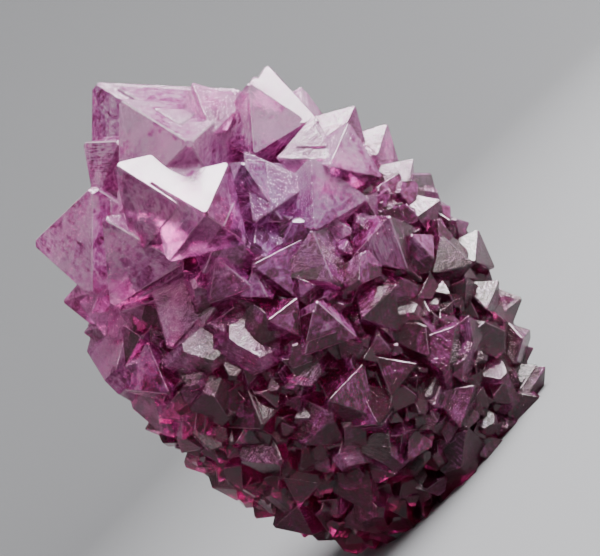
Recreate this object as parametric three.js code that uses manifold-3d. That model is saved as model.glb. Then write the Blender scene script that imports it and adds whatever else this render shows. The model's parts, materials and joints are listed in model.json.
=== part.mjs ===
// An alum crystal cluster: octahedral crystals of many sizes, grown together into one piece and
// cut off flat underneath. Millimetres, +Z up, with the origin in the middle of the cut face.
import * as THREE from "three";
import { ConvexGeometry } from "three/addons/geometries/ConvexGeometry.js";
import { mergeVertices } from "three/addons/utils/BufferGeometryUtils.js";
import Module from "manifold-3d";

const wasm = await Module();
wasm.setup();

// The line of sight from which the landmark crystals are described: its height above the table,
// the turn of the specimen about it, the point it passes through and the eye's distance.
const SIGHT = {
  elevation: 3,
  roll: 45,
  target: new THREE.Vector3(7, 0, 87),
  distance: 620,
};

// The grown-together mass that the crystals stand on: an upright egg with a few swellings. Each
// swelling rises in one direction and dies away over its spread in degrees.
const CORE = {
  centre: new THREE.Vector3(-3, 0, 69),
  radii: [57, 52, 86],
  swellings: [
    { towards: [1, -0.5, 0.3], rise: 3, spread: 34 },
    { towards: [-0.8, -0.4, 0.4], rise: 3, spread: 34 },
    { towards: [0.1, 0.9, 0.3], rise: 4, spread: 40 },
  ],
};

// Landmark crystals. sight is the tip's place on the plane through the target, across and up;
// stand is how far the crystal's middle stands off the core; points is the tip's direction on
// that plane, in degrees from across; toward is its tilt to the eye; turn is the crystal's turn
// about its tip; half is the length from middle to tip; corner is the share cut off the tips.
const LANDMARKS = [
  // the pale blocks and spears at the upper left
  { sight: [-74.5, 70.2], stand: -6, points: 134, toward: 4, turn: 14, half: 39, corner: 0.05 },
  { sight: [-63.7, 63], stand: 11, points: 134, toward: 4, turn: 14, half: 28 },
  { sight: [-96.5, 12.6], stand: 4, points: 180, toward: -8, turn: 45, half: 27 },
  { sight: [-78.5, 49], stand: 6, points: 150, toward: -15, turn: 20, half: 19 },
  { sight: [-65.2, 40], stand: 15, points: 148, toward: 13, turn: 0, half: 23 },
  { sight: [-52.9, 33.8], stand: 20, points: 148, toward: 11, turn: 2, half: 19.5 },
  { sight: [-68.8, 20.5], stand: 6, points: 138, toward: 36, turn: 17, half: 22 },
  { sight: [-38, 69], stand: 17, points: 117, toward: 28, turn: 84, half: 14 },
  { sight: [-45.5, 52], stand: 15, points: 95, toward: 30, turn: 38, half: 14 },
  // the peaks along the top
  { sight: [-11.9, 76.4], stand: 6, points: 93, toward: 0, turn: 50, half: 22.5 },
  { sight: [-18, 68.4], stand: 12, points: 101, toward: 35, turn: 81, half: 17.5 },
  { sight: [0.4, 69.5], stand: 2, points: 82, toward: -15, turn: 12, half: 15 },
  { sight: [4.3, 57.2], stand: 8, points: 90, toward: 6, turn: 29, half: 14 },
  { sight: [19.8, 61.6], stand: 4, points: 60, toward: 12, turn: 6, half: 15 },
  { sight: [17.3, 55.4], stand: 8, points: 77, toward: 5, turn: 79, half: 16 },
  { sight: [31.3, 55.4], stand: 2, points: 61, toward: 15, turn: 14, half: 13 },
  { sight: [40.7, 42.8], stand: 1, points: 52, toward: 5, turn: 30, half: 11 },
  { sight: [50.5, 28], stand: 1, points: 35, toward: 5, turn: 0, half: 10 },
  // the rounder crystals in the middle
  { sight: [-20, 40], stand: 4, points: 110, toward: 55, turn: 20, half: 17 },
  { sight: [-16, 20], stand: 2, points: 250, toward: 55, turn: 40, half: 18 },
  { sight: [5, 17], stand: 2, points: 265, toward: 55, turn: 10, half: 18 },
  { sight: [21.2, 22], stand: 3, points: 132, toward: -26, turn: 31, half: 14 },
  // the right flank
  { sight: [64, 17.6], stand: 2, points: 70, toward: 5, turn: 12, half: 11 },
  { sight: [50.8, 15.1], stand: 4, points: 100, toward: 14, turn: 55, half: 10.5 },
  { sight: [71.5, -1], stand: 1, points: 45, toward: 5, turn: 20, half: 10 },
  { sight: [80, -7], stand: 1, points: 25, toward: 8, turn: 10, half: 11 },
  { sight: [81.5, -18.5], stand: 1, points: 18, toward: 5, turn: 45, half: 9 },
  { sight: [84, -25], stand: 1, points: 28, toward: 10, turn: 45, half: 9 },
  { sight: [87.5, -31.7], stand: 0, points: 40, toward: 25, turn: 20, half: 15 },
  { sight: [60, -13.7], stand: 2, points: 80, toward: 45, turn: 30, half: 9 },
  { sight: [71, -40], stand: 2, points: 140, toward: 40, turn: 45, half: 11 },
  // the left flank
  { sight: [-82, 4.5], stand: 0, points: 180, toward: 10, turn: 30, half: 11 },
  { sight: [-85.3, -8.5], stand: 1, points: 185, toward: 8, turn: 15, half: 12 },
  { sight: [-77.8, -19.6], stand: 0, points: 188, toward: 5, turn: 10, half: 13 },
  { sight: [-61.9, -31.3], stand: 1, points: 170, toward: 34, turn: 36, half: 13 },
  { sight: [-63.4, -39.6], stand: 2, points: 203, toward: 7, turn: 56, half: 14 },
  { sight: [-50.5, -50], stand: 0, points: 215, toward: 10, turn: 20, half: 10 },
  // the front
  { sight: [-29.5, 6.5], stand: 4, points: 110, toward: 46, turn: 46, half: 11 },
  { sight: [-12.6, -8.6], stand: 3, points: 136, toward: -22, turn: 68, half: 9.5 },
  { sight: [6.1, -9], stand: 2, points: 103, toward: 49, turn: 53, half: 13 },
  { sight: [20.2, -3.2], stand: 3, points: 135, toward: -11, turn: 56, half: 11 },
  { sight: [20.2, -37.8], stand: 2, points: 121, toward: 21, turn: 87, half: 12 },
  { sight: [6.5, -35.3], stand: 2, points: 145, toward: -21, turn: 72, half: 13 },
  { sight: [57, -53], stand: 1, points: 280, toward: 40, turn: 45, half: 11 },
  { sight: [-34, 2], stand: 1, points: 230, toward: 45, turn: 25, half: 14 },
];

// The crowd between the landmarks: half lengths by place, from the big pale crystals towards
// BIG_SIDE to the small dark ones away from it. It is set out in rounds from large to small: a
// round's crystals have its share of the size, and take their places with the chance to keep.
const BIG_SIDE = new THREE.Vector3(-0.2, -0.05, 1).normalize();
const HALF_SMALL = 9;
const HALF_BIG = 17;
const ROUNDS = [
  { share: 1.4, keep: 0.35 },
  { share: 1.0, keep: 1 },
];
const CANDIDATES = 2600;
const SPACING = 1.05; // of the mean half length of two neighbours
const LOWEST_ROOT = 2; // no crystal of the crowd starts lower on the core
const TILT = 56; // degrees that a tip may lean from straight out
const SUNK = 0.25; // of the half length: how deep a crystal's middle lies under the core's surface
const UNEVEN = 0.26; // of a face's distance: how much the faces differ on one crystal
const LONG_CHANCE = 0.5;
const LONG_SHARE = 0.6; // of the half length: the most that a long crystal is stretched

const CORE_STEPS = 9;
const FLOOR_DEPTH = 120; // of the block that takes the underside off
const FLOOR_WIDTH = 500;
const MERGE_WITHIN = 1e-4;
const COLOUR = 0x8a4a86;

const UP = new THREE.Vector3(0, 0, 1);
const radians = THREE.MathUtils.degToRad;

// A repeatable stream of numbers from 0 to 1.
function dice(seed) {
  let state = seed >>> 0;
  return () => {
    state = (state + 0x6d2b79f5) >>> 0;
    let mixed = Math.imul(state ^ (state >>> 15), state | 1);
    mixed = (mixed + Math.imul(mixed ^ (mixed >>> 7), mixed | 61)) ^ mixed;
    return ((mixed ^ (mixed >>> 14)) >>> 0) / 4294967296;
  };
}

// The sighting plane's own directions: across, up, and back to the eye.
function sightAxes() {
  const e = radians(SIGHT.elevation);
  const roll = radians(SIGHT.roll);
  const back = new THREE.Vector3(0, -Math.cos(e), Math.sin(e));
  const level = new THREE.Vector3(1, 0, 0);
  const rise = new THREE.Vector3(0, Math.sin(e), Math.cos(e));
  const across = level.clone().multiplyScalar(Math.cos(roll)).addScaledVector(rise, -Math.sin(roll));
  const up = level.clone().multiplyScalar(Math.sin(roll)).addScaledVector(rise, Math.cos(roll));
  return { across, up, back };
}
const AXES = sightAxes();

// How far a point lies outside the core: its distance from the centre less the core's radius there.
function offCore(point) {
  const ray = point.clone().sub(CORE.centre);
  const far = ray.length();
  const way = ray.clone().divideScalar(far);
  const [a, b, c] = CORE.radii;
  let radius = 1 / Math.hypot(way.x / a, way.y / b, way.z / c);
  for (const { towards, rise, spread } of CORE.swellings) {
    const angle = way.angleTo(new THREE.Vector3(...towards).normalize());
    radius += rise * Math.exp(-((angle / radians(spread)) ** 2));
  }
  return far - radius;
}

// The core's point in a direction from its centre, and the way straight out of it there.
function onCore(way) {
  const far = 200;
  const point = CORE.centre.clone().addScaledVector(way, far);
  point.addScaledVector(way, -offCore(point));
  const reach = 0.5;
  const slope = (axis) =>
    offCore(point.clone().addScaledVector(axis, reach)) - offCore(point.clone().addScaledVector(axis, -reach));
  const out = new THREE.Vector3(
    slope(new THREE.Vector3(1, 0, 0)),
    slope(new THREE.Vector3(0, 1, 0)),
    slope(UP),
  ).normalize();
  return { point, out };
}

// The first point along a line of sight that is no further than `stand` from the core, or the
// point of it that comes nearest.
function alongSight([across, up], stand) {
  const eye = SIGHT.target.clone().addScaledVector(AXES.back, SIGHT.distance);
  const mark = SIGHT.target.clone().addScaledVector(AXES.across, across).addScaledVector(AXES.up, up);
  const way = mark.sub(eye).normalize();
  const search = 140;
  const step = 0.5;
  let best = null;
  let least = Infinity;
  for (let along = SIGHT.distance - search; along < SIGHT.distance + search; along += step) {
    const point = eye.clone().addScaledVector(way, along);
    const gap = offCore(point);
    if (gap <= stand) return point;
    if (gap < least) [least, best] = [gap, point];
  }
  return best;
}

// A crystal's own axes: z to its tip, x turned from a side that is given.
function frameOf(tipWay, side, turn) {
  const z = tipWay.clone().normalize();
  const x = side.clone().addScaledVector(z, -side.dot(z)).normalize();
  const y = new THREE.Vector3().crossVectors(z, x);
  return new THREE.Matrix4().makeBasis(x, y, z).multiply(new THREE.Matrix4().makeRotationZ(radians(turn)));
}

// The half-spaces of an octahedron, with its corners cut where corner isn't 0, stretched along
// one edge by long: unit normals and distances.
function facesOf({ half, long = 0, corner = 0, uneven = 0, roll }) {
  const faces = [];
  const stretch = new THREE.Vector3(1, 1, 0).normalize();
  const add = (normal, distance) =>
    faces.push({ normal, distance: distance + Math.abs(normal.dot(stretch)) * long });
  for (const x of [-1, 1])
    for (const y of [-1, 1])
      for (const z of [-1, 1]) {
        const uneasy = uneven > 0 ? 1 + uneven * (2 * roll() - 1) : 1;
        add(new THREE.Vector3(x, y, z).normalize(), (half / Math.sqrt(3)) * uneasy);
      }
  if (corner > 0)
    for (const axis of [0, 1, 2])
      for (const sign of [-1, 1]) add(new THREE.Vector3().setComponent(axis, sign), half * (1 - corner));
  return faces;
}

// The corners of the solid that a set of half-spaces encloses: every point where three of
// their planes meet and that lies outside none of them.
function cornersOf(faces) {
  const corners = [];
  const slack = 1e-6;
  for (let i = 0; i < faces.length; i++)
    for (let j = i + 1; j < faces.length; j++) {
      const pair = new THREE.Vector3().crossVectors(faces[i].normal, faces[j].normal);
      if (pair.lengthSq() < slack) continue;
      for (let k = j + 1; k < faces.length; k++) {
        const share = pair.dot(faces[k].normal);
        if (Math.abs(share) < slack) continue;
        const point = pair.clone().multiplyScalar(faces[k].distance);
        point.addScaledVector(new THREE.Vector3().crossVectors(faces[j].normal, faces[k].normal), faces[i].distance);
        point.addScaledVector(new THREE.Vector3().crossVectors(faces[k].normal, faces[i].normal), faces[j].distance);
        point.divideScalar(share);
        if (faces.every((face) => face.normal.dot(point) <= face.distance + slack)) corners.push(point);
      }
    }
  return corners;
}

// A closed three.js geometry as a solid for joining and cutting.
function solidFrom(geometry) {
  const bare = geometry.clone();
  for (const name of ["normal", "uv"]) bare.deleteAttribute(name);
  const merged = mergeVertices(bare, MERGE_WITHIN);
  return new wasm.Manifold(
    new wasm.Mesh({
      numProp: 3,
      vertProperties: new Float32Array(merged.attributes.position.array),
      triVerts: new Uint32Array(merged.index.array),
    }),
  );
}

function geometryFrom(solid) {
  const mesh = solid.getMesh();
  const geometry = new THREE.BufferGeometry();
  geometry.setAttribute("position", new THREE.BufferAttribute(new Float32Array(mesh.vertProperties), 3));
  geometry.setIndex(new THREE.BufferAttribute(new Uint32Array(mesh.triVerts), 1));
  geometry.computeVertexNormals();
  return geometry;
}

function crystalSolid(crystal) {
  const points = cornersOf(facesOf(crystal)).map((p) => p.applyMatrix4(crystal.frame).add(crystal.middle));
  return solidFrom(new ConvexGeometry(points));
}

function landmarkCrystals() {
  return LANDMARKS.map(({ sight, stand, points, toward, turn, half, corner }) => {
    const angle = radians(points);
    const tilt = radians(toward);
    const tipWay = AXES.across
      .clone()
      .multiplyScalar(Math.cos(angle) * Math.cos(tilt))
      .addScaledVector(AXES.up, Math.sin(angle) * Math.cos(tilt))
      .addScaledVector(AXES.back, Math.sin(tilt));
    const under = [AXES.across, AXES.up].map((axis, i) => sight[i] - half * tipWay.dot(axis));
    const middle = alongSight(under, stand);
    return { half, corner, frame: frameOf(tipWay, AXES.back, turn), middle, root: middle };
  });
}

// Directions spread evenly over a sphere.
function evenWays(count) {
  const golden = Math.PI * (3 - Math.sqrt(5));
  return Array.from({ length: count }, (_, i) => {
    const z = 1 - (2 * i + 1) / count;
    const ring = Math.sqrt(1 - z * z);
    return new THREE.Vector3(ring * Math.cos(golden * i), ring * Math.sin(golden * i), z);
  });
}

// One crystal of the crowd at a spot on the core, leaning a little from straight out.
function crowdCrystal(spot, half, roll) {
  const lean = radians(TILT) * Math.sqrt(roll());
  const bearing = 2 * Math.PI * roll();
  const side = new THREE.Vector3().crossVectors(spot.out, Math.abs(spot.out.z) < 0.9 ? UP : AXES.across);
  side.normalize().applyAxisAngle(spot.out, bearing);
  const tipWay = spot.out.clone().multiplyScalar(Math.cos(lean)).addScaledVector(side, Math.sin(lean));
  const long = roll() < LONG_CHANCE ? half * LONG_SHARE * roll() : 0;
  const frame = frameOf(tipWay, side, 360 * roll());
  const middle = spot.point.clone().addScaledVector(spot.out, -SUNK * half);
  return { half, long, uneven: UNEVEN, roll, frame, middle, root: spot.point };
}

function crowdCrystals(placed) {
  const all = [...placed];
  const spots = evenWays(CANDIDATES).map((way) => ({ way, ...onCore(way) }));
  ROUNDS.forEach(({ share, keep }, round) => {
    spots.forEach((spot, index) => {
      const roll = dice(index * 31 + round * 7919 + 1);
      if (roll() > keep || spot.point.z < LOWEST_ROOT) return;
      const big = THREE.MathUtils.smoothstep(spot.way.dot(BIG_SIDE), 0.1, 0.95);
      const half = share * THREE.MathUtils.lerp(HALF_SMALL, HALF_BIG, big) * (0.85 + 0.3 * roll());
      const near = (other) => other.root.distanceTo(spot.point) < (SPACING * (other.half + half)) / 2;
      if (!all.some(near)) all.push(crowdCrystal(spot, half, roll));
    });
  });
  return all;
}

function coreSolid() {
  const geometry = new THREE.SphereGeometry(1, 2 * CORE_STEPS, CORE_STEPS);
  geometry.rotateX(Math.PI / 2);
  const place = geometry.attributes.position;
  const way = new THREE.Vector3();
  for (let i = 0; i < place.count; i++) {
    const { point } = onCore(way.fromBufferAttribute(place, i).normalize());
    place.setXYZ(i, point.x, point.y, point.z);
  }
  return solidFrom(geometry);
}

// Everything below the table's level, which the saw took off.
function belowTable() {
  const block = new THREE.BoxGeometry(FLOOR_WIDTH, FLOOR_WIDTH, FLOOR_DEPTH);
  block.translate(0, 0, -FLOOR_DEPTH / 2);
  return solidFrom(block);
}

function alumCluster() {
  const crystals = crowdCrystals(landmarkCrystals());
  const grown = crystals.reduce((whole, crystal) => whole.add(crystalSolid(crystal)), coreSolid());
  const [largest] = grown
    .subtract(belowTable())
    .decompose()
    .sort((a, b) => b.volume() - a.volume());
  const alum = new THREE.MeshStandardMaterial({ color: COLOUR, roughness: 0.12, metalness: 0 });
  const mesh = new THREE.Mesh(geometryFrom(largest), alum);
  mesh.name = "alum_crystals";
  return mesh;
}

const cluster = new THREE.Group();
cluster.name = "alum_crystal_cluster";
cluster.add(alumCluster());

export default cluster;
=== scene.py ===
import json
import math

import bmesh
import bpy
import numpy as np
from mathutils import Matrix, Vector

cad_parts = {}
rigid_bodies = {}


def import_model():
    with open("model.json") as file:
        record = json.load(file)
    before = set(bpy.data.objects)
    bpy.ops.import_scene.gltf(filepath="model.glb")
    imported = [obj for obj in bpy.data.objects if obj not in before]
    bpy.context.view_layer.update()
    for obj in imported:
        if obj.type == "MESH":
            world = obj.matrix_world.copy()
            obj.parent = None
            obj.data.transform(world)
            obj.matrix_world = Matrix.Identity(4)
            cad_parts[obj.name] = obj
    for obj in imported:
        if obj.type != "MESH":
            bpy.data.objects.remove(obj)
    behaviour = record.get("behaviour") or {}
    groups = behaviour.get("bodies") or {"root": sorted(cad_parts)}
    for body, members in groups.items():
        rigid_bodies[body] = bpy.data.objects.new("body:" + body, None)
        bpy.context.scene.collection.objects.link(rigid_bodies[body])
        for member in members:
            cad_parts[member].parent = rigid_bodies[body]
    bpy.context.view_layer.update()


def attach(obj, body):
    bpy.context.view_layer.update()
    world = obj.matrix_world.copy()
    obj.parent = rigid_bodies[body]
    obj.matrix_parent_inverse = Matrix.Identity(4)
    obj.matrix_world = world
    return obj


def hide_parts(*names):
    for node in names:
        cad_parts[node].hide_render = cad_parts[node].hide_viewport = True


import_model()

MM = 0.001

# The line of sight from which the landmark crystals are described, in millimetres and degrees.
SIGHT_ELEVATION = 3
SIGHT_ROLL = 45
SIGHT_TARGET = np.array([7.0, 0.0, 87.0])
SIGHT_DISTANCE = 620
MM_PER_PIXEL = 0.36
PHOTO_WIDTH = 600
SEARCH_REACH = 140
SEARCH_STEP = 0.5

# The grown-together mass under the crystals: (towards, rise, spread) for each swelling.
CORE_CENTRE = np.array([-3.0, 0.0, 69.0])
CORE_RADII = np.array([57.0, 52.0, 86.0])
CORE_SWELLINGS = [
    ((1, -0.5, 0.3), 3, 34),
    ((-0.8, -0.4, 0.4), 3, 34),
    ((0.1, 0.9, 0.3), 4, 40),
]
CORE_SHRINK = 3.0
CORE_RINGS = 24

# Landmark crystals: sight across and up, stand, points, toward, turn, half.
LANDMARKS = [
    # the pale blocks and spears at the upper left
    (-74.5, 70.2, -6, 134, 4, 14, 39),
    (-63.7, 63, 11, 134, 4, 14, 28),
    (-96.5, 12.6, 4, 180, -8, 45, 27),
    (-78.5, 49, 6, 150, -15, 20, 19),
    (-65.2, 40, 15, 148, 13, 0, 23),
    (-52.9, 33.8, 20, 148, 11, 2, 19.5),
    (-68.8, 20.5, 6, 138, 36, 17, 22),
    (-38, 69, 17, 117, 28, 84, 14),
    (-45.5, 52, 15, 95, 30, 38, 14),
    # the peaks along the top
    (-11.9, 76.4, 6, 93, 0, 50, 22.5),
    (-18, 68.4, 12, 101, 35, 81, 17.5),
    (0.4, 69.5, 2, 82, -15, 12, 15),
    (4.3, 57.2, 8, 90, 6, 29, 14),
    (19.8, 61.6, 4, 60, 12, 6, 15),
    (17.3, 55.4, 8, 77, 5, 79, 16),
    (31.3, 55.4, 2, 61, 15, 14, 13),
    (40.7, 42.8, 1, 52, 5, 30, 11),
    (50.5, 28, 1, 35, 5, 0, 10),
    # the rounder crystals in the middle
    (-20, 40, 4, 110, 55, 20, 17),
    (-16, 20, 2, 250, 55, 40, 18),
    (5, 17, 2, 265, 55, 10, 18),
    (21.2, 22, 3, 132, -26, 31, 14),
    # the right flank
    (64, 17.6, 2, 70, 5, 12, 11),
    (50.8, 15.1, 4, 100, 14, 55, 10.5),
    (71.5, -1, 1, 45, 5, 20, 10),
    (80, -7, 1, 25, 8, 10, 11),
    (81.5, -18.5, 1, 18, 5, 45, 9),
    (84, -25, 1, 28, 10, 45, 9),
    (87.5, -31.7, 0, 40, 25, 20, 15),
    (60, -13.7, 2, 80, 45, 30, 9),
    (71, -40, 2, 140, 40, 45, 11),
    # the left flank
    (-82, 4.5, 0, 180, 10, 30, 11),
    (-85.3, -8.5, 1, 185, 8, 15, 12),
    (-77.8, -19.6, 0, 188, 5, 10, 13),
    (-61.9, -31.3, 1, 170, 34, 36, 13),
    (-63.4, -39.6, 2, 203, 7, 56, 14),
    (-50.5, -50, 0, 215, 10, 20, 10),
    # the front
    (-29.5, 6.5, 4, 110, 46, 46, 11),
    (-12.6, -8.6, 3, 136, -22, 68, 9.5),
    (6.1, -9, 2, 103, 49, 53, 13),
    (20.2, -3.2, 3, 135, -11, 56, 11),
    (20.2, -37.8, 2, 121, 21, 87, 12),
    (6.5, -35.3, 2, 145, -21, 72, 13),
    (57, -53, 1, 280, 40, 45, 11),
    (-34, 2, 1, 230, 45, 25, 14),
]

# The crowd of crystals between the landmarks. It grows larger towards the big side, and each
# round is (share of the size, chance to keep). Lengths are in millimetres, angles in degrees.
BIG_SIDE = np.array([-0.2, -0.05, 1.0]) / math.hypot(0.2, 0.05, 1.0)
HALF_SMALL = 9.0
HALF_BIG = 17.0
CROWD_ROUNDS = [(1.4, 0.35), (1.0, 1.0)]
CROWD_PLACES = 2600
CROWD_SPACING = 1.05
LOWEST_ROOT = 2.0
TILT = 56
SUNK = 0.25
UNEVEN = 0.26
LONG_CHANCE = 0.5
LONG_SHARE = 0.6

# The finer crystals in the hollows, as (share of the size, spacing, most height over the core).
FINE_ROUNDS = [(0.8, 0.62, 3.5), (0.5, 0.6, 3.0)]
FINE_PLACES = 5200
FINE_SUNK = 0.15

# Parallel growth on the crystals whose half length is at least this.
STEP_PARENT = 9.5

# Bevels along edges, as a share of the root of the half length, the shift of each plane, and the
# first seed of each kind of crystal.
BEVEL_LEAST = 0.015
BEVEL_MOST = 0.055
PLANE_SHIFT = 0.004
LANDMARK_SEED = 500
CROWD_SEED = 7000
FINE_SEED = 90000
STEP_SEED = 3000

# The block that takes off what lies under the table's level, in millimetres.
BLOCK_DEPTH = 120
BLOCK_WIDTH = 500


class Dice:
    """A repeatable stream of numbers from 0 to 1: a 32-bit counter, mixed by shifts and products."""

    MASK = 0xFFFFFFFF

    def __init__(self, seed):
        """Starts the counter at a seed."""
        self.state = seed & self.MASK

    def __call__(self):
        """The next number: the counter takes a fixed step, and its bits are mixed."""
        self.state = (self.state + 0x6D2B79F5) & self.MASK
        mixed = ((self.state ^ (self.state >> 15)) * (self.state | 1)) & self.MASK
        mixed = (mixed + (((mixed ^ (mixed >> 7)) * (mixed | 61)) & self.MASK)) & self.MASK ^ mixed
        return (mixed ^ (mixed >> 14)) / 4294967296

    def between(self, low, high):
        """The next number, spread evenly from low to high."""
        return low + (high - low) * self()


def unit(v):
    """A vector divided by its length."""
    v = np.asarray(v, float)
    return v / np.linalg.norm(v)


def smooth(value, low, high):
    """0 below low, 1 above high, and t * t * (3 - 2 * t) between them."""
    t = np.clip((value - low) / (high - low), 0, 1)
    return t * t * (3 - 2 * t)


def sight_axes():
    """Across, up and back to the eye: level and rising directions, turned by the roll."""
    e, r = math.radians(SIGHT_ELEVATION), math.radians(SIGHT_ROLL)
    back = np.array([0, -math.cos(e), math.sin(e)])
    level = np.array([1.0, 0, 0])
    rise = np.array([0, math.sin(e), math.cos(e)])
    return level * math.cos(r) - rise * math.sin(r), level * math.sin(r) + rise * math.cos(r), back


ACROSS, PICTURE_UP, BACK = sight_axes()


def off_core(points):
    """Distance from the core's centre less the core's radius there: the radius of the egg, plus
    each swelling's rise times exp(-(angle / spread) squared)."""
    ray = points - CORE_CENTRE
    far = np.linalg.norm(ray, axis=-1)
    way = ray / far[..., None]
    radius = 1 / np.linalg.norm(way / CORE_RADII, axis=-1)
    for towards, rise, spread in CORE_SWELLINGS:
        angle = np.arccos(np.clip(way @ unit(towards), -1, 1))
        radius = radius + rise * np.exp(-((angle / math.radians(spread)) ** 2))
    return far - radius


def on_core(ways):
    """The core's point in each direction from its centre: a far point on the ray less its distance
    off the core. And the slope of off_core there, from a step of half a millimetre each way."""
    far = CORE_CENTRE + 200.0 * ways
    points = far - off_core(far)[:, None] * ways
    reach = 0.5 * np.eye(3)
    slope = np.stack([off_core(points + step) - off_core(points - step) for step in reach], axis=-1)
    return points, slope / np.linalg.norm(slope, axis=1)[:, None]


def along_sight(across, up, stand):
    """The first point along a line of sight within `stand` of the core, or the nearest one."""
    eye = SIGHT_TARGET + BACK * SIGHT_DISTANCE
    way = unit(SIGHT_TARGET + ACROSS * across + PICTURE_UP * up - eye)
    along = np.arange(SIGHT_DISTANCE - SEARCH_REACH, SIGHT_DISTANCE + SEARCH_REACH, SEARCH_STEP)
    points = eye + along[:, None] * way
    gap = off_core(points)
    near = np.nonzero(gap <= stand)[0]
    return points[near[0] if len(near) else np.argmin(gap)]


def even_ways(count):
    """Directions along a golden spiral from pole to pole of a sphere."""
    i = np.arange(count)
    z = 1 - (2 * i + 1) / count
    ring = np.sqrt(1 - z * z)
    angle = math.pi * (3 - math.sqrt(5)) * i
    return np.stack([ring * np.cos(angle), ring * np.sin(angle), z], axis=1)


def frame_of(tip_way, side, turn):
    """A crystal's axes as columns: z to its tip, x turned from a given side."""
    z = unit(tip_way)
    x = unit(side - z * np.dot(side, z))
    y = np.cross(z, x)
    c, s = math.cos(math.radians(turn)), math.sin(math.radians(turn))
    return np.stack([c * x + s * y, -s * x + c * y, z], axis=1)


# The planes that bound a crystal: the eight faces of an octahedron, a small cut across each of
# its six corners, and a narrow bevel along each of its twelve edges.
FACES = np.array([(x, y, z) for x in (-1, 1) for y in (-1, 1) for z in (-1, 1)], float) / math.sqrt(3)
CORNERS = np.array([way for axis in np.eye(3) for way in (-axis, axis)])
EDGES = np.array([(i, j) for i in range(8) for j in range(i) if FACES[i] @ FACES[j] > 0.3])
NORMALS = np.vstack([FACES, CORNERS, (FACES[EDGES[:, 0]] + FACES[EDGES[:, 1]]) * math.sqrt(3) / 2**1.5])
STRETCH = unit((1, 1, 0))


class Crystal:
    """One crystal: its axes, middle, half length, stretch and eight face distances, its root, which
    its neighbours keep away from, how cloudy it is, and the share cut off its corners."""

    def __init__(self, axes, middle, half, root, seed, long=0.0, uneven=0.0, roll=None):
        """Every face lies at half / sqrt(3), times 1 plus or minus up to the unevenness. The share
        cut off the corners is 0.03 to 0.06, or 0.1 to 0.26 on three in ten of the uneven ones."""
        self.axes, self.middle, self.half, self.root, self.long = axes, middle, half, root, long
        self.faces = np.full(8, half / math.sqrt(3))
        if uneven:
            self.faces *= [1 + uneven * (2 * roll() - 1) for _ in range(8)]
        self.own = Dice(seed)
        self.cloud = self.own()
        self.cut = 0.03 + 0.03 * self.own()
        if uneven and self.own() < 0.3:
            self.cut = self.own.between(0.1, 0.26)

    def distances(self):
        """How far each of the 26 planes lies from the middle. A corner's cut is a share below the
        lower ridge that meets there, and an edge's bevel is a little below that edge, by more on
        a larger crystal. The stretch moves each plane out by how far it faces along it, and every
        plane moves by up to 0.004 mm, so that no two lie in one."""
        own, faces = self.own, self.faces
        corners = []
        for axis in CORNERS:
            near = [i for i in range(8) if FACES[i] @ axis > 0]
            ridge = [faces[i] + faces[j] for i in near for j in near if FACES[i] @ FACES[j] < -0.3]
            corners.append(min(ridge) * math.sqrt(3) / 2 * (1 - self.cut - 0.02 * own()))
        ridges = (faces[EDGES[:, 0]] + faces[EDGES[:, 1]]) * math.sqrt(3) / 2**1.5
        bevels = np.array([own.between(BEVEL_LEAST, BEVEL_MOST) * math.sqrt(self.half) for _ in EDGES])
        away = np.concatenate([faces, corners, ridges - bevels])
        away += np.abs(NORMALS @ STRETCH) * self.long
        return away + [own.between(-PLANE_SHIFT, PLANE_SHIFT) for _ in away]


def landmark_crystals():
    """The landmarks. A crystal's tip is given along the sight, and its middle lies half its length
    back from there, at the first depth that is near enough to the core."""
    made = []
    for index, (across, up, stand, points, toward, turn, half) in enumerate(LANDMARKS):
        angle, tilt = math.radians(points), math.radians(toward)
        flat = ACROSS * math.cos(angle) + PICTURE_UP * math.sin(angle)
        tip_way = flat * math.cos(tilt) + BACK * math.sin(tilt)
        middle = along_sight(across - half * tip_way @ ACROSS, up - half * tip_way @ PICTURE_UP, stand)
        axes = frame_of(tip_way, BACK, turn)
        made.append(Crystal(axes, middle, half, middle, LANDMARK_SEED + index))
    return made


def size_at(way):
    """The half length of the crowd in a direction: a smooth step from small to big."""
    return HALF_SMALL + (HALF_BIG - HALF_SMALL) * smooth(way @ BIG_SIDE, 0.1, 0.95)


def leaning_crystal(point, out, half, roll, sunk, seed):
    """One crystal at a place, leaning from straight out by the tilt times the root of a number."""
    lean = math.radians(TILT) * math.sqrt(roll())
    bearing = 2 * math.pi * roll()
    side = unit(np.cross(out, (0, 0, 1) if abs(out[2]) < 0.9 else ACROSS))
    side = side * math.cos(bearing) + np.cross(out, side) * math.sin(bearing)
    tip_way = out * math.cos(lean) + side * math.sin(lean)
    long = half * LONG_SHARE * roll() if roll() < LONG_CHANCE else 0.0
    axes = frame_of(tip_way, side, 360 * roll())
    return Crystal(axes, point - sunk * half * out, half, point, seed, long, UNEVEN, roll)


def is_free(point, half, crystals, spacing):
    """True where no crystal's root is nearer than the spacing times the mean half length."""
    roots = np.array([c.root for c in crystals])
    halves = np.array([c.half for c in crystals])
    return not (np.linalg.norm(roots - point, axis=1) < spacing * (halves + half) / 2).any()


def add_crowd(crystals):
    """Crystals at even places on the core, a round of large ones before the rest. A place is
    taken by chance, where it is above the table and free. Each place has its own dice."""
    ways = even_ways(CROWD_PLACES)
    points, outs = on_core(ways)
    for number, (share, keep) in enumerate(CROWD_ROUNDS):
        for index, (way, point, out) in enumerate(zip(ways, points, outs)):
            roll = Dice(index * 31 + number * 7919 + 1)
            if roll() > keep or point[2] < LOWEST_ROOT:
                continue
            half = share * size_at(way) * (0.85 + 0.3 * roll())
            if is_free(point, half, crystals, CROWD_SPACING):
                crystals.append(leaning_crystal(point, out, half, roll, SUNK, CROWD_SEED + index))


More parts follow.
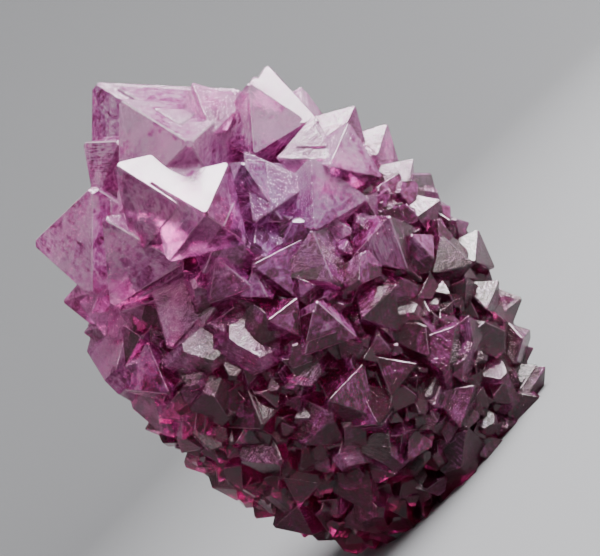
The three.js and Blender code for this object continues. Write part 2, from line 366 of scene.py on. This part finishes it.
def grown_reach(ways, crystals):
    """How far out the grown solid reaches in each direction from the core's centre: the greatest
    distance at which a ray leaves the core or any crystal that it meets."""
    reach = np.linalg.norm(on_core(ways)[0] - CORE_CENTRE, axis=1) - CORE_SHRINK
    for crystal in crystals:
        normals = FACES @ crystal.axes.T
        slope = ways @ normals.T
        room = crystal.faces + np.abs(FACES @ STRETCH) * crystal.long
        room = room - (CORE_CENTRE - crystal.middle) @ normals.T
        with np.errstate(divide="ignore"):
            cross = room / slope
        leave = np.where(slope > 0, cross, np.inf).min(axis=1)
        enter = np.where(slope < 0, cross, -np.inf).max(axis=1)
        reach = np.where((enter < leave) & (leave > reach), leave, reach)
    return reach


def add_fine(crystals):
    """Small crystals seated on the grown surface, in the hollows between the others: where the
    surface is less than a set height over the core, and no fresh crystal is too near."""
    ways = even_ways(FINE_PLACES)
    on, outs = on_core(ways)
    level = np.linalg.norm(on - CORE_CENTRE, axis=1)
    for number, (share, spacing, highest) in enumerate(FINE_ROUNDS):
        reach = grown_reach(ways, crystals)
        points = CORE_CENTRE + ways * reach[:, None]
        fresh = []
        for index in np.nonzero((reach - level < highest) & (points[:, 2] > 1))[0]:
            roll = Dice(int(index) * 37 + number * 6361 + 50000)
            half = share * size_at(ways[index]) * (0.7 + 0.6 * roll())
            if not fresh or is_free(points[index], half, fresh, 2 * spacing):
                seed = FINE_SEED + int(index)
                fresh.append(leaning_crystal(points[index], outs[index], half, roll, FINE_SUNK, seed))
        crystals.extend(fresh)


def add_steps(crystals):
    """Parallel growth: smaller crystals on the same axes, each raised a little over one face. The
    middle moves along the face's normal by the parent's face distance less the step's own plus
    the rise, and slides along the face by a share of the difference in half length."""
    steps = []
    for index, parent in enumerate(crystals):
        if parent.half < STEP_PARENT:
            continue
        roll = Dice(index * 101 + 77)
        for _ in range(int(1 + parent.half / 12)):
            half = parent.half * roll.between(0.35, 0.85)
            face = int(roll() * 8)
            rise = roll.between(0.06, 0.3) * (0.5 + parent.half / 30)
            slide = np.cross(FACES[face], unit([roll() - 0.5, roll() - 0.5, roll() - 0.5]))
            place = FACES[face] * (parent.faces[face] - half / math.sqrt(3) + rise)
            place = place + slide * (parent.half - half) * 0.55
            middle = parent.middle + parent.axes @ place
            steps.append(Crystal(parent.axes, middle, half, middle, STEP_SEED + 13 * index))
            steps[-1].cloud = parent.cloud
    crystals.extend(steps)


def meeting_planes():
    """Every three planes that can meet at a corner, and the matrix that turns their distances
    into that corner: the inverse of the matrix whose rows are their normals. Planes that face
    more than 111 degrees apart are taken never to meet, and three without one corner are left out."""
    close = NORMALS @ NORMALS.T > -0.36
    count = len(NORMALS)
    threes = [
        (i, j, k)
        for i in range(count)
        for j in range(i + 1, count)
        if close[i, j]
        for k in range(j + 1, count)
        if close[i, k] and close[j, k]
    ]
    threes = np.array(threes)
    rows = NORMALS[threes]
    usable = np.abs(np.linalg.det(rows)) > 1e-6
    return threes[usable], np.linalg.inv(rows[usable])


def facet_axes():
    """Two axes in each plane, the first along one of the crystal's edges where there is one."""
    along = np.array([np.cross(n, (0, 0, 1)) if abs(n[2]) < 0.9 else (1, 0, 0) for n in NORMALS])
    along /= np.linalg.norm(along, axis=1)[:, None]
    return along, np.cross(NORMALS, along)


ALONG, OVER = facet_axes()

# What each facet keeps: how cloudy its crystal is, how smooth and how light it is itself, and
# whether it is the bevel along an edge.
MARKS = ["cloud", "smoothness", "tone", "edge"]


def crystal_mesh(name, crystal, points, threes):
    """One crystal's mesh. Each of its facets is the corners that lie on one plane, in the order of
    their angle round that plane's axes. Its corners keep their place in the facet in mm as a UV
    map, turned by thirds so that growth lines run along any edge, and moved by the cloudiness so
    that crystals differ. Its facets keep the four marks."""
    own = crystal.own
    polygons, places, marks = [], [], []
    for plane in range(len(NORMALS)):
        corners = np.nonzero((threes == plane).any(axis=1))[0]
        if len(corners) < 3:
            continue
        flat = np.stack([points[corners] @ ALONG[plane], points[corners] @ OVER[plane]], axis=1)
        from_middle = flat - flat.mean(axis=0)
        order = np.argsort(np.arctan2(from_middle[:, 1], from_middle[:, 0]))
        third = 2 * math.pi / 3 * int(own() * 3)
        turn = np.array([(math.cos(third), -math.sin(third)), (math.sin(third), math.cos(third))])
        polygons.append(corners[order].tolist())
        places.append(flat[order] @ turn + crystal.cloud * 100)
        marks.append((crystal.cloud, own(), own(), plane >= len(FACES) + len(CORNERS)))
    world = points @ crystal.axes.T + crystal.middle
    mesh = bpy.data.meshes.new(name)
    mesh.from_pydata((world * MM).tolist(), [], polygons)
    mesh.uv_layers.new(name="facet").data.foreach_set("uv", np.concatenate(places).ravel())
    for mark, values in zip(MARKS, np.array(marks, float).T):
        mesh.attributes.new(mark, "FLOAT", "FACE").data.foreach_set("value", np.ascontiguousarray(values))
    return mesh


def crystal_meshes(crystals, batch=200):
    """All crystals' meshes. Their corners are the meeting points of three planes that lie outside
    no other plane, worked out for a batch of crystals at a time."""
    threes, solve = meeting_planes()
    meshes = []
    for start in range(0, len(crystals), batch):
        some = crystals[start : start + batch]
        away = np.array([c.distances() for c in some])
        points = np.einsum("tij,ctj->cti", solve, away[:, threes])
        inside = (points @ NORMALS.T <= away[:, None, :] + 1e-7).all(axis=2)
        for number, crystal in enumerate(some):
            kept = inside[number]
            name = f"crystal_{start + number}"
            meshes.append(crystal_mesh(name, crystal, points[number, kept], threes[kept]))
    return meshes


def new_object(name, content):
    """An object at the origin around a mesh, a light or a camera, linked to the scene."""
    made = bpy.data.objects.new(name, content)
    bpy.context.scene.collection.objects.link(made)
    return made


def core_mesh():
    """The core on a grid of latitude and longitude, closed by one point at each pole."""
    spokes = 2 * CORE_RINGS
    lat = np.linspace(-math.pi / 2, math.pi / 2, CORE_RINGS + 1)[1:-1]
    lon = np.linspace(0, 2 * math.pi, spokes, endpoint=False)
    level = np.outer(np.cos(lat), np.ones(spokes))
    height = np.outer(np.sin(lat), np.ones(spokes))
    ways = np.stack([level * np.cos(lon), level * np.sin(lon), height], axis=-1)
    ways = np.vstack([ways.reshape(-1, 3), (0, 0, -1), (0, 0, 1)])
    points = on_core(ways)[0] - CORE_SHRINK * ways
    grid = np.arange(len(lat) * spokes).reshape(len(lat), spokes)
    right = np.roll(grid, -1, axis=1)
    sides = np.stack([grid[:-1], right[:-1], right[1:], grid[1:]], axis=-1).reshape(-1, 4)
    south, north = len(ways) - 2, len(ways) - 1
    bottom = np.stack([np.full(spokes, south), right[0], grid[0]], axis=-1)
    top = np.stack([np.full(spokes, north), grid[-1], right[-1]], axis=-1)
    mesh = bpy.data.meshes.new("core")
    mesh.from_pydata((points * MM).tolist(), [], [*sides.tolist(), *bottom.tolist(), *top.tolist()])
    mesh.uv_layers.new(name="facet")
    for mark in MARKS:
        mesh.attributes.new(mark, "FLOAT", "FACE")
    return mesh


def block_mesh():
    """The block under the table's level, which takes the underside off."""
    wide = BLOCK_WIDTH / 2
    outline = [(-wide, -wide), (wide, -wide), (wide, wide), (-wide, wide)]
    corners = np.array([(x, y, z) for z in (-BLOCK_DEPTH, 0) for x, y in outline])
    sides = [(3, 2, 1, 0), (4, 5, 6, 7), (0, 1, 5, 4), (1, 2, 6, 5), (2, 3, 7, 6), (3, 0, 4, 7)]
    mesh = bpy.data.meshes.new("block")
    mesh.from_pydata((corners * MM).tolist(), [], sides)
    return mesh


def boolean(target, operation, meshes):
    """Joins meshes to a target or cuts them from it, as a live modifier. Returns the collection."""
    parts = bpy.data.collections.new(operation.lower())
    for mesh in meshes:
        parts.objects.link(bpy.data.objects.new(mesh.name, mesh))
    modifier = target.modifiers.new(operation.lower(), "BOOLEAN")
    modifier.operation = operation
    modifier.solver = "MANIFOLD"
    modifier.operand_type = "COLLECTION"
    modifier.collection = parts
    return parts


def largest_piece(mesh):
    """Keeps the faces that hang together in the largest piece, without the walls of closed pockets
    inside it: every vertex takes the lowest number that it can reach along edges, and the
    commonest number wins."""
    edges = np.empty(len(mesh.edges) * 2, np.int64)
    mesh.edges.foreach_get("vertices", edges)
    a, b = edges.reshape(-1, 2).T
    label = np.arange(len(mesh.vertices))
    while True:
        lowest = np.minimum(label[a], label[b])
        fresh = label.copy()
        np.minimum.at(fresh, a, lowest)
        np.minimum.at(fresh, b, lowest)
        fresh = fresh[fresh]
        if (fresh == label).all():
            break
        label = fresh
    keep = np.bincount(label).argmax()
    spare = np.nonzero(label != keep)[0]
    if len(spare):
        work = bmesh.new()
        work.from_mesh(mesh)
        work.verts.ensure_lookup_table()
        bmesh.ops.delete(work, geom=[work.verts[i] for i in spare], context="VERTS")
        work.to_mesh(mesh)
        work.free()


def alum_cluster():
    """The core and all crystals joined into one closed solid and cut off flat at the table. Each
    corner keeps its height over the core in mm."""
    crystals = landmark_crystals()
    add_crowd(crystals)
    add_fine(crystals)
    add_steps(crystals)
    whole = new_object("whole", core_mesh())
    grown = boolean(whole, "UNION", crystal_meshes(crystals))
    sawn = boolean(whole, "DIFFERENCE", [block_mesh()])
    bpy.context.view_layer.update()
    graph = bpy.context.evaluated_depsgraph_get()
    mesh = bpy.data.meshes.new_from_object(whole.evaluated_get(graph))
    for spare in [whole, *grown.objects, *sawn.objects]:
        bpy.data.objects.remove(spare)
    for parts in (grown, sawn):
        bpy.data.collections.remove(parts)
    largest_piece(mesh)
    mesh.name = "alum_cluster"
    mesh.polygons.foreach_set("use_smooth", np.zeros(len(mesh.polygons), bool))
    places = np.empty(len(mesh.vertices) * 3)
    mesh.vertices.foreach_get("co", places)
    height = off_core(places.reshape(-1, 3) / MM)
    mesh.attributes.new("height", "FLOAT", "POINT").data.foreach_set("value", height)
    mesh.update()
    return new_object("alum_cluster", mesh)


class Value:
    """One number of a material, worked out at each point: arithmetic on it adds Math nodes."""

    def __init__(self, kit, socket):
        self.kit = kit
        self.socket = socket

    def __add__(self, other):
        """This plus the other."""
        return self.kit.maths("ADD", self, other)

    def __sub__(self, other):
        """This less the other."""
        return self.kit.maths("SUBTRACT", self, other)

    def __rsub__(self, other):
        """The other less this."""
        return self.kit.maths("SUBTRACT", other, self)

    def __mul__(self, other):
        """This times the other."""
        return self.kit.maths("MULTIPLY", self, other)

    __radd__ = __add__
    __rmul__ = __mul__


class Kit:
    """The nodes of one material."""

    def __init__(self, name):
        """A new material, with its shader and its output."""
        self.material = bpy.data.materials.new(name)
        self.material.use_nodes = True
        self.tree = self.material.node_tree
        self.shader = self.tree.nodes["Principled BSDF"]
        self.output = self.tree.nodes["Material Output"]

    def feed(self, socket, value):
        """Links a value or a socket to an input, or sets a plain number or colour on it."""
        if isinstance(value, Value):
            value = value.socket
        if isinstance(value, bpy.types.NodeSocket):
            self.tree.links.new(value, socket)
        else:
            socket.default_value = value

    def add(self, kind, settings, inputs):
        """One node of a kind: its settings first, a ramp's stops among them, then its inputs."""
        node = self.tree.nodes.new("ShaderNode" + kind)
        for name, value in settings.items():
            if name == "stops":
                ramp = node.color_ramp
                for place, colour in value[2:]:
                    ramp.elements.new(place)
                for element, (place, colour) in zip(ramp.elements, sorted(value)):
                    element.position, element.color = place, (*colour, 1)
            else:
                setattr(node, name, value)
        for name, value in inputs.items():
            self.feed(node.inputs[name], value)
        return node

    def maths(self, operation, a, b):
        """One sum on two numbers."""
        node = self.add("Math", {"operation": operation}, {0: a, 1: b})
        return Value(self, node.outputs[0])

    def span(self, value, low, high):
        """0 at low, 1 at high, smooth between."""
        settings = {"interpolation_type": "SMOOTHSTEP"}
        node = self.add("MapRange", settings, {"Value": value, "From Min": low, "From Max": high})
        return Value(self, node.outputs["Result"])

    def mix(self, share, a, b, blend="MIX"):
        """Colour a at share 0, and at share 1 colour b, or a blended with b."""
        node = self.add("Mix", {"data_type": "RGBA", "blend_type": blend}, {0: share, 6: a, 7: b})
        return node.outputs[2]

    def place(self):
        """The point on the object, in metres."""
        return self.add("TexCoord", {}, {}).outputs["Object"]

    def attribute(self, name):
        """A number that the mesh keeps under this name."""
        return Value(self, self.add("Attribute", {"attribute_name": name}, {}).outputs["Fac"])

    def scaled(self, vector, scales):
        """A vector with each of its parts times a scale of its own."""
        return self.add("VectorMath", {"operation": "MULTIPLY"}, {0: vector, 1: scales}).outputs[0]

    def noise(self, vector, scale, detail, rough=0.5):
        """Smooth noise of about 0 to 1, with finer layers added as the detail goes up."""
        inputs = {"Vector": vector, "Scale": scale, "Detail": detail, "Roughness": rough}
        return Value(self, self.add("TexNoise", {}, inputs).outputs[0])

    def cell_numbers(self, vector, scale):
        """Flat-sided cells that fill space, each with one number from 0 to 1."""
        inside = self.add("TexVoronoi", {}, {"Vector": vector, "Scale": scale}).outputs["Color"]
        return Value(self, self.add("SeparateColor", {}, {"Color": inside}).outputs[0])

    def cell_sides(self, vector, scale):
        """The distance to the nearest side of the same cells."""
        settings = {"feature": "DISTANCE_TO_EDGE"}
        node = self.add("TexVoronoi", settings, {"Vector": vector, "Scale": scale})
        return Value(self, node.outputs["Distance"])

    def away(self, vector, place):
        """The distance from a place given in mm, in metres."""
        there = [length * MM for length in place]
        node = self.add("VectorMath", {"operation": "DISTANCE"}, {0: vector, 1: there})
        return Value(self, node.outputs["Value"])

    def along(self, vector, way, start, end):
        """How far a point lies in a direction, as 0 at the start and 1 at the end, both in mm."""
        dot = self.add("VectorMath", {"operation": "DOT_PRODUCT"}, {0: vector, 1: tuple(way)})
        return self.span(Value(self, dot.outputs["Value"]), start * MM, end * MM)


# The material: clear crystal whose colour goes from deep to pale towards one side, the top. This is
# partly its own colour, with big pale crystals there and small dark ones at the base, and partly
# painted light: paler where the light falls from above, with painted shade at the base.
PALE_AND_LIT_SIDE = np.array([0.2, -0.05, 1.0]) / math.hypot(0.2, 0.05, 1.0)
PALE_FROM = 38
PALE_TO = 150
# The deepest stops of this ramp stand partly for painted shade at the base.
BODY_AND_SHADE_COLOURS = [
    (0.0, (0.06, 0.005, 0.02)),
    (0.3, (0.24, 0.025, 0.12)),
    (0.55, (0.52, 0.10, 0.40)),
    (0.8, (0.78, 0.27, 0.64)),
    (1.0, (0.94, 0.56, 0.84)),
]
VIOLET_PLACE = (14, -42, 112)
VIOLET_REACH = 38
VIOLET_TINT = (0.62, 0.66, 1, 1)
# The colour of a painted highlight along the bevels, where edges catch the light.
EDGE_HIGHLIGHT_COLOUR = (0.95, 0.85, 0.92, 1)
TRANSMISSION = 0.88
IOR = 1.456
DENSITY = 30.0
VOLUME_COLOUR = (0.66, 0.18, 0.5, 1)

# The backdrop's colour.
FLOOR_COLOUR = (0.09, 0.09, 0.094, 1)

# How fine each pattern is, as features to a metre, and the depth of the relief in metres.
DRIFT_SCALE = 28.0
WISP_SCALE = 700.0
SHARD_SCALE = 125.0
VEIL_SCALE = 90.0
RELIEF = 0.00012


def alum_material():
    """Clear to cloudy purple crystal: pale and milky at the big crystals, deep and dark among
    the small ones, and darker towards the base partly as painted shade. The body colour is
    picked by a sum of the way towards the pale side, which is partly painted light from above
    and painted shade below, a slow drift, how cloudy the crystal and how light the facet is,
    fine wisps, growth lines, veils, shards with pale seams, and the height over the core, which
    paints shade into the hollows and lightens the tips. It turns violet near one place, and
    pale along bevels as a painted highlight. Lines, terraces and wisps also make the relief."""
    kit = Kit("alum")
    place = kit.place()
    facet = kit.add("UVMap", {"uv_map": "facet"}, {}).outputs[0]
    cloud, smoothness, tone, edge = [kit.attribute(mark) for mark in MARKS]
    height = kit.attribute("height")

    drift = kit.noise(place, DRIFT_SCALE, 3.0) - 0.5
    wisps = kit.noise(place, WISP_SCALE, 4.0, 0.7)
    flattened = kit.scaled(place, (1, 1, 1.6))
    shard = kit.cell_numbers(flattened, SHARD_SCALE)
    seam = 1.0 - kit.span(kit.cell_sides(flattened, SHARD_SCALE), 0.01, 0.05)
    lines = kit.noise(kit.scaled(facet, (0.14, 2.6, 1)), 1.0, 3.0, 0.6)
    streaked = kit.span(smoothness + drift, 0.5, 0.85)
    upper = kit.along(place, PALE_AND_LIT_SIDE, PALE_FROM, PALE_TO)
    veils = kit.noise(kit.scaled(place, (1, 2.2, 0.7)), VEIL_SCALE, 5.0, 0.7)
    veils = kit.span(veils, 0.52, 0.58) * (0.3 + upper * 0.7)
    # The way towards the pale side: partly the crystals' own colour, partly painted light from above and
    # painted shade at the base.
    paleness_and_painted_shade = upper * 0.78 - 0.1 + drift * 0.5 + (cloud - 0.5) * 0.2 + (tone - 0.5) * 0.5
    paleness_and_painted_shade = paleness_and_painted_shade + (wisps - 0.5) * 2.0 + (lines - 0.5) * streaked * 2.8 + veils * 0.35
    # Painted shade: the height over the core darkens the hollows between crystals and lightens their
    # tips.
    paleness_and_painted_shade = paleness_and_painted_shade + (shard - 0.5) * 0.4 + seam * 0.2 + kit.span(height, -1, 9) * 0.4 - 0.27
    body = kit.add("ValToRGB", {"stops": BODY_AND_SHADE_COLOURS}, {0: paleness_and_painted_shade}).outputs[0]
    violet = 1.0 - kit.span(kit.away(place, VIOLET_PLACE) + drift * 0.03, 0, VIOLET_REACH * MM)
    body = kit.mix(violet * 0.75, body, VIOLET_TINT, "MULTIPLY")
    # Painted highlight: the bevels are tinted pale, more towards the top, as if catching the light.
    painted_edge_highlight = edge * kit.span(tone, 0.2, 0.9) * (0.25 + upper * 0.5)
    colour = kit.mix(painted_edge_highlight, body, EDGE_HIGHLIGHT_COLOUR)

    scratched = kit.span(smoothness + drift * 1.2, 0.3, 0.8)
    terraces = kit.cell_numbers(kit.scaled(facet, (0.3, 1.1, 1)), 1.0)
    relief = lines * (0.7 + scratched * 1.6) + terraces * (0.15 + scratched * 0.5) + wisps * 0.8
    bump = kit.add("Bump", {}, {"Height": relief, "Distance": RELIEF, "Strength": 0.8}).outputs[0]

    roughness = 0.02 + kit.span(wisps, 0.5, 0.75) * 0.06 + edge * 0.15
    kit.feed(kit.shader.inputs["Base Color"], colour)
    kit.feed(kit.shader.inputs["Roughness"], roughness)
    kit.feed(kit.shader.inputs["Normal"], bump)
    kit.shader.inputs["IOR"].default_value = IOR
    kit.shader.inputs["Transmission Weight"].default_value = TRANSMISSION
    absorb = kit.add("VolumeAbsorption", {}, {"Color": VOLUME_COLOUR, "Density": DENSITY})
    kit.tree.links.new(absorb.outputs[0], kit.output.inputs["Volume"])
    return kit.material


def stage_material():
    """The backdrop's plain, pale, matt grey."""
    kit = Kit("pale_backdrop")
    kit.feed(kit.shader.inputs["Base Color"], FLOOR_COLOUR)
    kit.feed(kit.shader.inputs["Roughness"], 0.85)
    return kit.material


def stage_mesh(flat=1.0, bend=0.5, wall=0.6, spokes=64, steps=16):
    """A round studio floor whose edge turns up into a wall: a flat line, a quarter arc and an
    upright line, carried round the middle."""
    arc = np.linspace(0, math.pi / 2, steps)
    out = np.concatenate([[flat / 2], flat + bend * np.sin(arc), [flat + bend]])
    up = np.concatenate([[0], bend * (1 - np.cos(arc)), [bend + wall]])
    lon = np.linspace(0, 2 * math.pi, spokes, endpoint=False)
    level = np.outer(up, np.ones(spokes))
    ring = np.stack([np.outer(out, np.cos(lon)), np.outer(out, np.sin(lon)), level], axis=-1)
    points = np.vstack([ring.reshape(-1, 3), (0, 0, 0)])
    grid = np.arange(len(out) * spokes).reshape(len(out), spokes)
    right = np.roll(grid, -1, axis=1)
    sides = np.stack([grid[:-1], grid[1:], right[1:], right[:-1]], axis=-1).reshape(-1, 4)
    middle = np.stack([np.full(spokes, len(points) - 1), grid[0], right[0]], axis=-1)
    mesh = bpy.data.meshes.new("backdrop")
    mesh.from_pydata(points.tolist(), [], [*sides.tolist(), *middle.tolist()])
    mesh.polygons.foreach_set("use_smooth", np.ones(len(mesh.polygons), bool))
    return mesh


def softbox(name, towards, away, size, power):
    """A soft rectangular light that faces the cluster from one side, with its distance and size in
    metres and its power in watts."""
    lamp = bpy.data.lights.new(name, "AREA")
    lamp.shape = "RECTANGLE"
    lamp.size, lamp.size_y = size
    lamp.energy = power
    made = new_object(name, lamp)
    target = Vector(SIGHT_TARGET * MM)
    made.location = target + Vector(unit(towards)) * away
    made.rotation_mode = "QUATERNION"
    made.rotation_quaternion = (made.location - target).to_track_quat("Z", "Y")


def sight_camera():
    """The camera on the line of sight, rolled with it, as wide as the picture."""
    lens = bpy.data.cameras.new("camera")
    lens.sensor_width = 36
    lens.lens = lens.sensor_width * SIGHT_DISTANCE / (PHOTO_WIDTH * MM_PER_PIXEL)
    camera = new_object("camera", lens)
    placed = Matrix(np.stack([ACROSS, PICTURE_UP, BACK], axis=1).tolist()).to_4x4()
    placed.translation = Vector((SIGHT_TARGET + BACK * SIGHT_DISTANCE) * MM)
    camera.matrix_world = placed
    bpy.context.scene.camera = camera


def studio_world():
    """The even, dim grey light from all round."""
    world = bpy.data.worlds.new("studio")
    world.use_nodes = True
    world.node_tree.nodes["Background"].inputs["Color"].default_value = (0.5, 0.5, 0.52, 1)
    world.node_tree.nodes["Background"].inputs["Strength"].default_value = 0.5
    bpy.context.scene.world = world


cluster = alum_cluster()
cluster.data.materials.clear()
cluster.data.materials.append(alum_material())
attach(cluster, "root")
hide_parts("alum_crystals")

backdrop = new_object("backdrop", stage_mesh())
backdrop.data.materials.append(stage_material())

studio_world()
softbox("key", PICTURE_UP * 0.95 + BACK * 0.15, 1.3, (1.5, 0.85), 200)
softbox("top", PICTURE_UP + BACK * 0.4, 1.4, (1.8, 1.4), 26)
softbox("fill", -ACROSS * 0.7 + PICTURE_UP * 0.7 + BACK * 0.7, 1.2, (1.2, 1.2), 14)
sight_camera()
